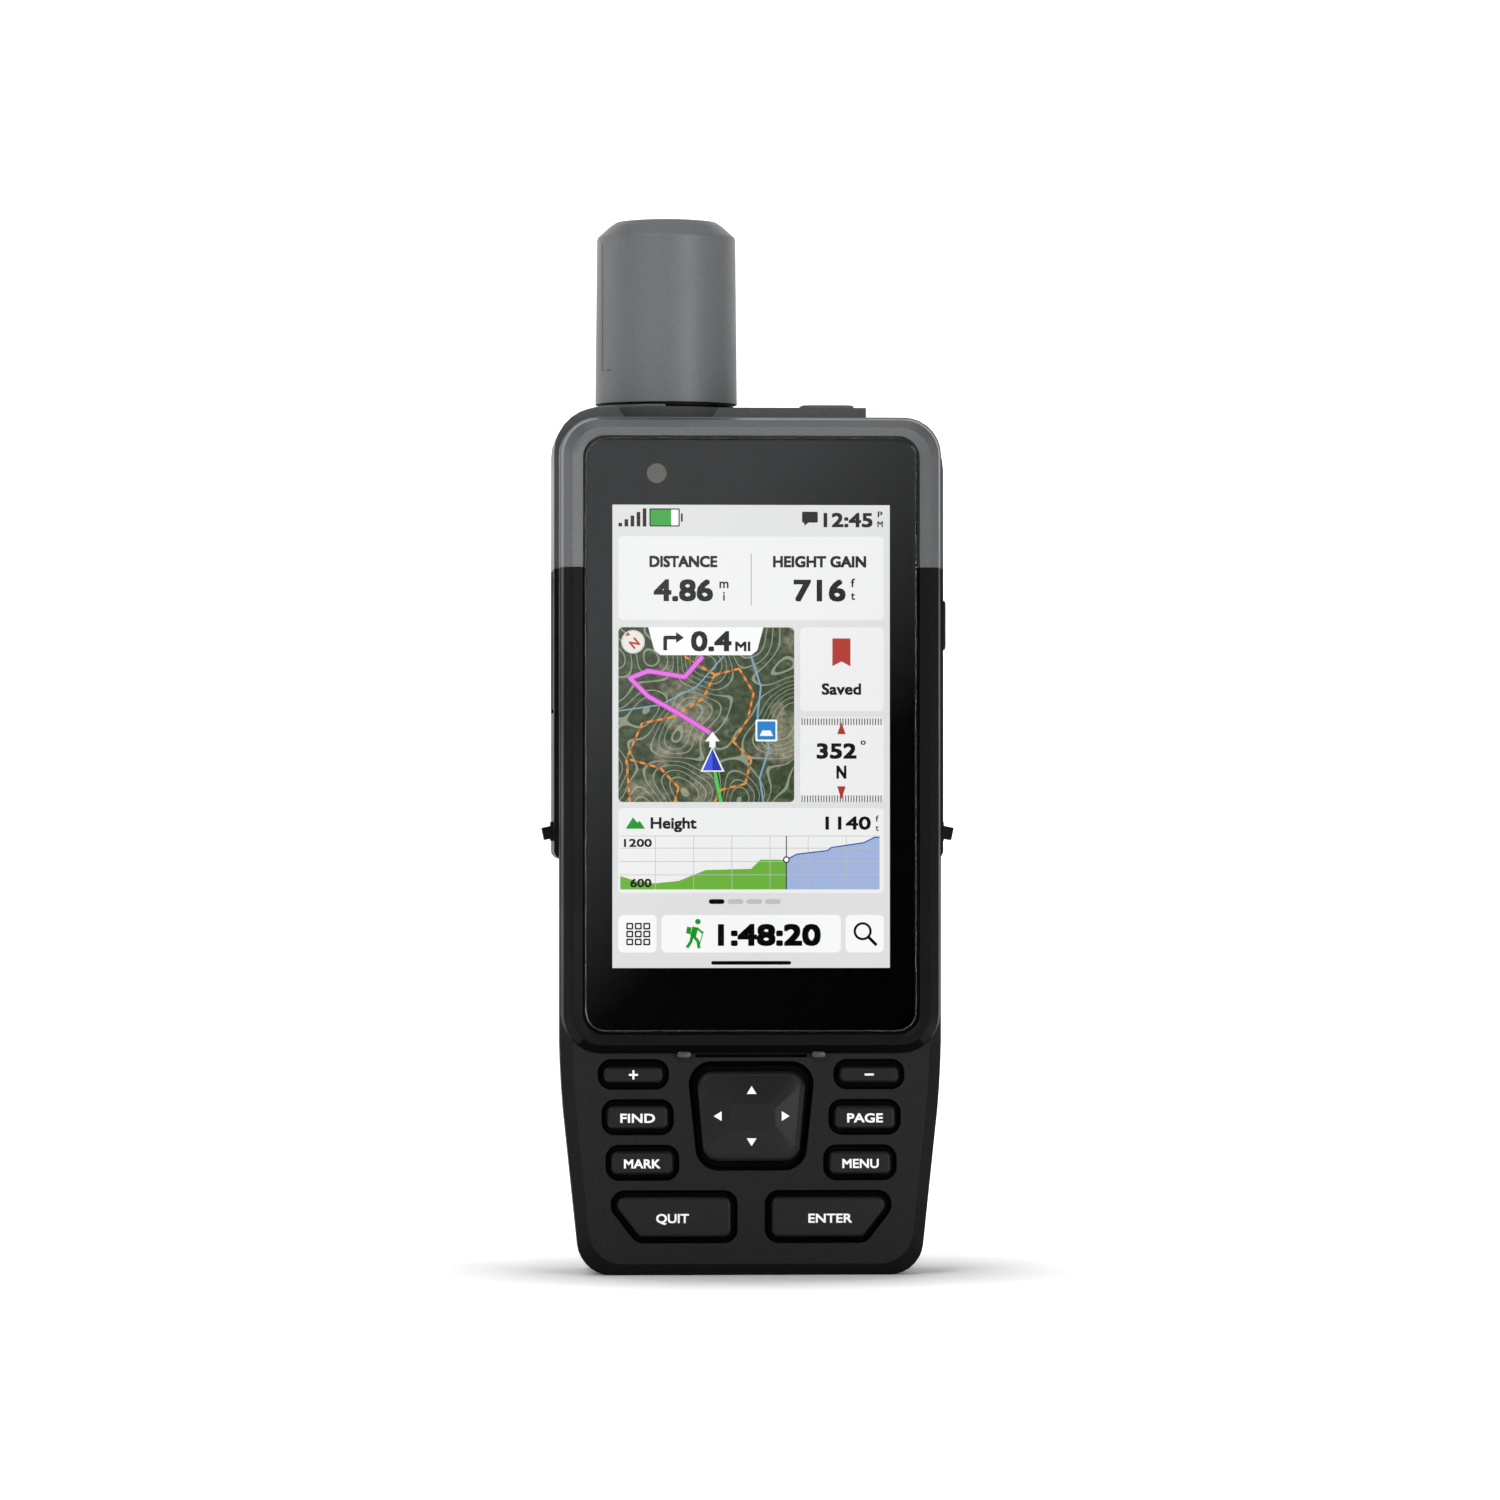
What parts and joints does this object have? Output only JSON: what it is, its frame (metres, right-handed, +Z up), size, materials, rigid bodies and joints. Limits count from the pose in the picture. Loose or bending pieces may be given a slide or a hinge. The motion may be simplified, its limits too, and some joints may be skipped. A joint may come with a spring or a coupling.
{
  "type": "handheld satellite navigator",
  "caption": "Rugged handheld satellite navigator with a portrait touch display, a keypad with a four-way rocker, a stub antenna and a removable battery door.",
  "frame": {"origin": "middle of the overall footprint, at the base the body stands on", "axes": "+Z up through the antenna, -Y out of the display, +X to the viewer's right facing the display"},
  "size_m": [0.0686, 0.036, 0.1752],
  "materials": {
    "grey_shell": "fine matt moulded grey",
    "black_shell": "satin black moulded",
    "black_rubber": "dull",
    "dark_grey_shell": "matt",
    "cover_glass": "polished, printed black border",
    "clear_lens": "clear",
    "bond": "foam tape",
    "display_cell": "lit display cell",
    "light_guide": "white",
    "sensor_window": "smoked",
    "magnesium": "cast, bead blasted",
    "circuit_board": "green solder mask",
    "shield_tin": "tin plate",
    "chip_resin": "moulded resin",
    "flex_film": "amber film",
    "steel": "stainless",
    "black_screw": "black oxide",
    "ceramic_core": "unglazed",
    "copper": "copper",
    "coax_jacket": "jacket",
    "gold": "gold plated",
    "battery_wrap": "printed wrap",
    "led": "yellow phosphor",
    "vent_membrane": "porous membrane"
  },
  "bodies": {
    "shell": {"front_housing": "black_shell", "top_bezel": "grey_shell", "rear_housing": "black_shell", "rear_cap": "grey_shell", "case_gasket": "black_rubber", "display_glass": "cover_glass", "glass_bond": "bond", "lcd_panel": "display_cell", "backlight": "light_guide", "light_sensor": "sensor_window", "mid_frame": "magnesium", "main_board": "circuit_board", "processor_shield": "shield_tin", "gnss_shield": "shield_tin", "board_parts": "chip_resin", "display_flex": "flex_film", "key_mat": "black_rubber", "dome_switches": "steel", "key_board": "circuit_board", "antenna_cover": "grey_shell", "antenna_collar": "dark_grey_shell", "antenna_core": "ceramic_core", "antenna_helix": "copper", "antenna_board": "circuit_board", "antenna_seal": "black_rubber", "antenna_coax": "coax_jacket", "power_switch": "steel", "side_switch": "steel", "usb_port": "shield_tin", "usb_board": "circuit_board", "battery_pack": "battery_wrap", "battery_contacts": "gold", "door_gasket": "black_rubber", "mount_spine": "black_shell", "torch_lens": "clear_lens", "torch_led": "led", "speaker": "black_shell", "pressure_vent": "vent_membrane", "case_screws": "black_screw", "side_lugs": "black_shell", "lanyard_bar": "steel", "card_socket": "shield_tin", "memory_card": "chip_resin", "board_screws": "steel"},
    "key_plus": {"key_plus": "black_shell"},
    "key_find": {"key_find": "black_shell"},
    "key_mark": {"key_mark": "black_shell"},
    "key_minus": {"key_minus": "black_shell"},
    "key_page": {"key_page": "black_shell"},
    "key_menu": {"key_menu": "black_shell"},
    "key_quit": {"key_quit": "black_shell"},
    "key_enter": {"key_enter": "black_shell"},
    "rocker_frame": {"rocker_post": "steel"},
    "rocker": {"rocker_cap": "black_shell"},
    "power_key": {"power_button": "grey_shell"},
    "side_key": {"side_button": "black_shell"},
    "port_flap": {"port_cover": "black_rubber"},
    "door": {"battery_door": "black_shell"},
    "lock": {"door_lock": "steel"},
    "ring": {"door_ring": "steel"}
  },
  "joints": [
    {"name": "key_plus_press", "type": "slide", "parent": "shell", "child": "key_plus", "axis": [0, 1, 0], "range_m": [0, 0.0006], "stiffness_N_per_m": 300},
    {"name": "key_find_press", "type": "slide", "parent": "shell", "child": "key_find", "axis": [0, 1, 0], "range_m": [0, 0.0006], "stiffness_N_per_m": 300},
    {"name": "key_mark_press", "type": "slide", "parent": "shell", "child": "key_mark", "axis": [0, 1, 0], "range_m": [0, 0.0006], "stiffness_N_per_m": 300},
    {"name": "key_minus_press", "type": "slide", "parent": "shell", "child": "key_minus", "axis": [0, 1, 0], "range_m": [0, 0.0006], "stiffness_N_per_m": 300},
    {"name": "key_page_press", "type": "slide", "parent": "shell", "child": "key_page", "axis": [0, 1, 0], "range_m": [0, 0.0006], "stiffness_N_per_m": 300},
    {"name": "key_menu_press", "type": "slide", "parent": "shell", "child": "key_menu", "axis": [0, 1, 0], "range_m": [0, 0.0006], "stiffness_N_per_m": 300},
    {"name": "key_quit_press", "type": "slide", "parent": "shell", "child": "key_quit", "axis": [0, 1, 0], "range_m": [0, 0.0006], "stiffness_N_per_m": 300},
    {"name": "key_enter_press", "type": "slide", "parent": "shell", "child": "key_enter", "axis": [0, 1, 0], "range_m": [0, 0.0006], "stiffness_N_per_m": 300},
    {"name": "rocker_up_down", "type": "hinge", "parent": "shell", "child": "rocker_frame", "pos_m": [0, -0.01393, 0.0263], "axis": [1, 0, 0], "range_deg": [-2.2, 2.2], "stiffness_Nm_per_rad": 0.05},
    {"name": "rocker_left_right", "type": "hinge", "parent": "rocker_frame", "child": "rocker", "pos_m": [0, -0.01393, 0.0263], "axis": [0, 0, 1], "range_deg": [-2.2, 2.2], "stiffness_Nm_per_rad": 0.05},
    {"name": "power_press", "type": "slide", "parent": "shell", "child": "power_key", "axis": [0, 0, -1], "range_m": [0, 0.0005], "stiffness_N_per_m": 500},
    {"name": "side_press", "type": "slide", "parent": "shell", "child": "side_key", "axis": [-1, 0, 0], "range_m": [0, 0.0004], "stiffness_N_per_m": 300},
    {"name": "port_flap_hinge", "type": "hinge", "parent": "shell", "child": "port_flap", "pos_m": [-0.03125, 0, 0.09393], "axis": [0, -1, 0], "range_deg": [0, 88]},
    {"name": "door_lift", "type": "slide", "parent": "shell", "child": "door", "axis": [0, 1, 0], "range_m": [0, 0.03]},
    {"name": "lock_turn", "type": "hinge", "parent": "door", "child": "lock", "pos_m": [0, 0.0134, 0.017], "axis": [0, 1, 0], "range_deg": [0, 90]},
    {"name": "ring_fold", "type": "hinge", "parent": "lock", "child": "ring", "pos_m": [0, 0.0144, 0.017], "axis": [1, 0, 0], "range_deg": [0, 90]}
  ]
}
